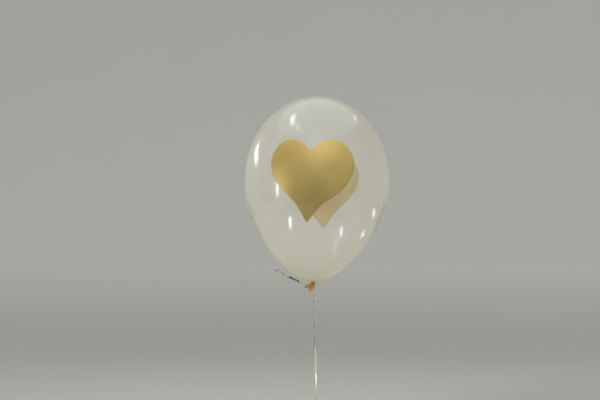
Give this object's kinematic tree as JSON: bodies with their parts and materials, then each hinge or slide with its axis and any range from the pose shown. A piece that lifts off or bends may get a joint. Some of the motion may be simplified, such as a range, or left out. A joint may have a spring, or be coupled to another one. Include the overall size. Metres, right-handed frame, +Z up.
{
  "type": "printed latex balloon on ribbon",
  "caption": "Inflated see-through latex balloon with a gold heart printed on its front and back, tied off and floating upright on a metallised ribbon with a hand loop.",
  "frame": {"origin": "lowest inside point of the hand loop at the ribbon's lower end, where a finger, hook or weight pulls", "axes": "+Z up, from the hand loop to the balloon's crown; the front heart faces -Y; the back heart faces +Y; +X is to the right when the front heart is seen"},
  "size_m": [0.2835, 0.284, 0.6571],
  "materials": {
    "clear_latex": "thin stretched see-through latex, slightly milky, glossy",
    "amber_latex": "unstretched latex, amber, satin",
    "gold_print": "satin metallic gold ink",
    "foil_ribbon": "mirror-bright metallised film ribbon"
  },
  "bodies": {
    "loop": {"hand_loop": "foil_ribbon"},
    "lower_knot": {"loop_knot": "foil_ribbon"},
    "line": {"ribbon": "foil_ribbon"},
    "upper_knot": {"ribbon_knot": "foil_ribbon"},
    "balloon": {"balloon_skin": "clear_latex", "front_heart_print": "gold_print", "back_heart_print": "gold_print", "neck_knot": "amber_latex", "neck_mouth": "amber_latex", "mouth_rim": "amber_latex", "ribbon_wrap": "foil_ribbon"},
    "tail": {"ribbon_tail": "foil_ribbon"}
  },
  "joints": [
    {"name": "ribbon_sway_side", "type": "hinge", "parent": "loop", "child": "lower_knot", "pos_m": [-0.00105, 0, 0.04874], "axis": [0, 1, 0], "range_deg": [-30, 30], "stiffness_Nm_per_rad": 0.065},
    {"name": "ribbon_sway_front", "type": "hinge", "parent": "lower_knot", "child": "line", "pos_m": [-0.00105, 0, 0.04874], "axis": [1, 0, 0], "range_deg": [-30, 30], "stiffness_Nm_per_rad": 0.065},
    {"name": "balloon_spin", "type": "hinge", "parent": "line", "child": "upper_knot", "pos_m": [-0.00623, 0, 0.28793], "axis": [-0.0216, 0, 0.9998], "continuous": true},
    {"name": "balloon_tilt", "type": "hinge", "parent": "upper_knot", "child": "balloon", "pos_m": [-0.00623, 0, 0.28793], "axis": [0, 1, 0], "range_deg": [-18, 18], "stiffness_Nm_per_rad": 0.03},
    {"name": "tail_swing", "type": "hinge", "parent": "balloon", "child": "tail", "pos_m": [-0.01223, -0.0005, 0.28613], "axis": [0, 1, 0], "range_deg": [-35, 5], "stiffness_Nm_per_rad": 0.001}
  ]
}
